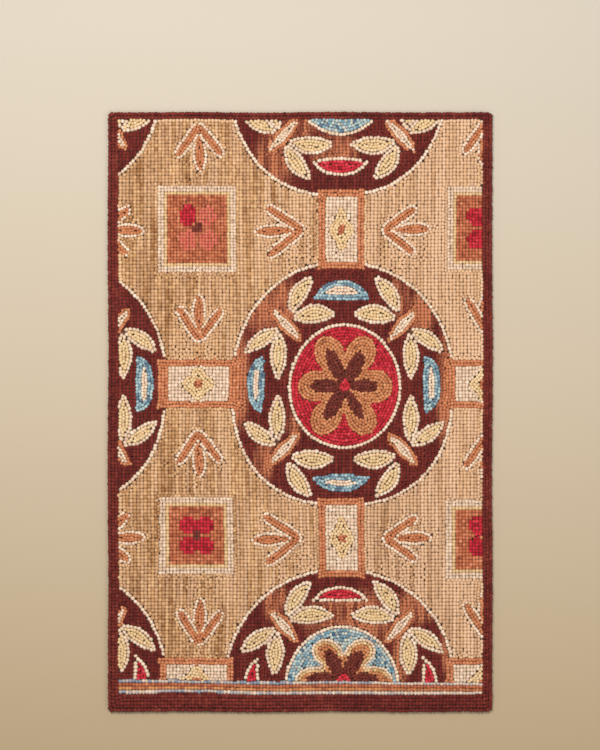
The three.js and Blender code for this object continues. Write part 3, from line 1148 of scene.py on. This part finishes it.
def fill_straight(name, outline, inner):
    """Hooks rows in step with those of the whole rug, and then the room that they leave farther in."""
    note(name, cloth.hook(column_rows(outline, PITCH, (PITCH / 2, 0)), GROUND_ROOM * PITCH))
    note(name, cloth.hook(leftover(inner), FILLER_GAP))


for x, y, row, column in roundels:
    middle = np.array([x, y]) + row_shift(row, column, "outline")
    if row == 1 and column < 0:
        middle[0] += HEAD_LEFT_SHIFT
    size = ROUNDEL_ROWS[row]["outline"][2:]
    upper, lower = (round_outline(middle, size, power, 180) for power in (ROUNDEL_POWER, LOWER_POWERS[row]))
    roundel = np.where(upper[:, 1:] < middle[1], lower, upper)
    note("roundel_edge", edge_row(roundel))
    fill_straight("roundel_ground", roundel, grown(roundel, -EDGE_WIDTH - 1.0))
    cloth.take(grown(roundel, EDGE_MARGIN))
x, y, turn = np.array(hooked["roundel_ground"]).T
rust = np.zeros(len(x))
for middle_x, middle_y, reach_x, reach_y in RUST:
    far = np.hypot((x - middle_x) / reach_x, (y - middle_y) / reach_y)
    rust = np.maximum(rust, np.clip(1.7 - far, 0, 1))
rust = np.clip(rust * (0.85 + 0.7 * column_noise(x, y, 40, 9)), 0, 1)
shade = 0.42 + 0.2 * column_noise(x, y, 45, 8)
plan_pile("roundel_edge", cream, 0.6)
plan_pile("roundel_ground", maroon, shade, 0.1, rust)

# The field.
# All that is left is camel-coloured ground, hooked in straight rows along the rug. The wool changes shade
# from row to row and within a row, from gold at the left to peach at the right.
FIELD_DIVIDE = 60.0  # where the pieces of the field's head end and foot end meet
camel = dyed_wool("camel", (144, 98, 58), (194, 150, 106), (218, 182, 136), (208, 170, 136), "wool_pile")
whole = box_outline((0, 0), (2 * HALF_WIDTH, 2 * HALF_LENGTH))
inner_field = box_outline(
    ((field_left + field_right) / 2, (field_head + stripes_end_left) / 2),
    (field_right - field_left, field_head - stripes_end_left),
)
fill_straight("field", whole, inner_field)
field = np.array(hooked["field"])
at_head, at_left = field[:, 1] >= FIELD_DIVIDE, field[:, 0] < 0
for end, side in (("head", "left"), ("head", "right"), ("foot", "left"), ("foot", "right")):
    name = f"field_{end}_{side}"
    hooked[name] = field[(at_head == (end == "head")) & (at_left == (side == "left"))]
    across, along, turn = hooked[name].T
    beside_border = (along > field_head - PITCH) | (across < field_left + PITCH)
    shade = 0.37 + 0.22 * column_noise(across, along, 55, 3)
    shade -= 0.06 * np.clip((-across - 180) / 60, 0, 1)
    shade -= 0.14 * np.clip(across / 120, 0, 1) * np.clip(-along / 200, 0, 1)
    shade += 0.3 * beside_border
    peach = 0.4 + 0.4 * across / HALF_WIDTH + 0.4 * column_noise(across, along, 90, 4) + 0.4 * beside_border
    plan_pile(name, camel, shade, 0.1, peach)

# The pile springs up.
# The wool is springy, so each loop swells and shifts until it meets its neighbours, and no cloth shows
# between them but at the corners. Geometry Nodes stand a loop on every point, one piece for each wool.
SWELL_LEAST, SWELL_MOST = 0.40, 0.80  # how far a loop may reach from its point, in pitches
NEIGHBOURHOOD = 9.5
CLOSEST = 4.9
OVERLAP = np.array([1.27, 1.13])  # along the row, where loops press on each other, and across it
PUSH_REACH, PUSH_ROUNDS, PUSH = 7.0, 14, 0.28  # how far, how often and how hard neighbours push
TURN_SPREAD = 0.08  # how far a loop may turn and lean by chance, in radians
SIZE_SPREAD = 0.02


def search_tree(spots):
    tree = kdtree.KDTree(len(spots))
    for i, (x, y, turn) in enumerate(spots):
        tree.insert((x, y, 0), i)
    tree.balance()
    return tree


def settled(spots, held):
    """The loops, after those that were hooked too close have pushed each other apart. The border holds."""
    tree = search_tree(spots)
    pairs = []
    for i, (x, y, turn) in enumerate(spots):
        pairs += [(i, j) for _, j, _ in tree.find_range((x, y, 0), PUSH_REACH) if j > i]
    a, b = np.array(pairs).T
    points = spots[:, :2].copy()
    for _ in range(PUSH_ROUNDS):
        gap = points[a] - points[b]
        far = np.maximum(np.hypot(*gap.T), 0.1)
        push = gap * (PUSH * np.clip(CLOSEST - far, 0, None) / far)[:, None]
        for k in (0, 1):
            move = np.bincount(a, push[:, k], len(points)) - np.bincount(b, push[:, k], len(points))
            points[held:, k] += move[held:]
    return np.column_stack([points, spots[:, 2]])


def swelled(spots):
    """Where each loop's middle comes to lie, and how far it is stretched along and across its row."""
    tree = search_tree(spots)
    room = np.full((len(spots), 4), np.inf)
    for i, (x, y, turn) in enumerate(spots):
        c, s = math.cos(turn), math.sin(turn)
        for other, j, far in tree.find_range((x, y, 0), NEIGHBOURHOOD):
            if j == i:
                continue
            ahead = (other[0] - x) * c + (other[1] - y) * s
            aside = (other[1] - y) * c - (other[0] - x) * s
            if abs(ahead) >= abs(aside):
                way = 0 if ahead > 0 else 1
            else:
                way = 2 if aside > 0 else 3
            room[i, way] = min(room[i, way], max(abs(ahead), abs(aside)) / 2)
    room[np.isinf(room)] = PITCH / 2
    room = room.clip(SWELL_LEAST * PITCH, SWELL_MOST * PITCH)
    ahead, aside = (room[:, 0] - room[:, 1]) / 2, (room[:, 2] - room[:, 3]) / 2
    c, s = np.cos(spots[:, 2]), np.sin(spots[:, 2])
    x = spots[:, 0] + ahead * c - aside * s
    y = spots[:, 1] + ahead * s + aside * c
    stretch = np.stack([room[:, 0] + room[:, 1], room[:, 2] + room[:, 3]], -1) * OVERLAP / PITCH
    return x, y, stretch


def stand_up(plan, x, y, stretch, seed):
    """Makes the piece of pile of one plan."""
    high = plan["high"] + lift(x, y)
    x, y = uneven(x, y)
    mesh = bpy.data.meshes.new(plan["name"])
    mesh.from_pydata((np.stack([x, y, 0 * x], -1) * MM).tolist(), [], [])
    wide = stretch * chance.normal(1, SIZE_SPREAD, stretch.shape)
    values = {
        "turn": np.column_stack([plan["leans"], plan["loops"][:, 2]]),
        "stretch": np.column_stack([wide, high / LOOP_HEIGHT]),
        "tone": plan["tone"],
        "cast": plan["cast"],
    }
    for label, numbers in values.items():
        kind, key = ("FLOAT", "value") if numbers.ndim == 1 else ("FLOAT_VECTOR", "vector")
        attribute = mesh.attributes.new(label, kind, "POINT")
        attribute.data.foreach_set(key, np.asarray(numbers, np.float32).ravel())
    piece = bpy.data.objects.new(plan["name"], mesh)
    bpy.context.collection.objects.link(piece)
    modifier = piece.modifiers.new("loops", "NODES")
    modifier.node_group = loop_nodes
    given = {"Loop": loop_shape, "Wool": plan["wool"], "Unevenness": TURN_SPREAD, "Seed": seed}
    for label, value in given.items():
        modifier[sockets[label]] = value
    made = bpy.data.meshes.new_from_object(piece.evaluated_get(bpy.context.evaluated_depsgraph_get()))
    piece.modifiers.clear()
    piece.data = made
    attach(piece, "root")
    return piece


loop_shape = yarn_loop()
loop_nodes = loop_tree()
sockets = {s.name: s.identifier for s in loop_nodes.interface.items_tree if s.in_out == "INPUT"}
every_loop = settled(np.vstack([plan["loops"] for plan in plans]), len(hooked["border"]))
every_x, every_y, every_stretch = swelled(every_loop)
pile_pieces = []
start = 0
for plan in plans:
    end = start + len(plan["loops"])
    part = slice(start, end)
    pile_pieces.append(stand_up(plan, every_x[part], every_y[part], every_stretch[part], len(pile_pieces)))
    start = end
bpy.data.objects.remove(loop_shape)
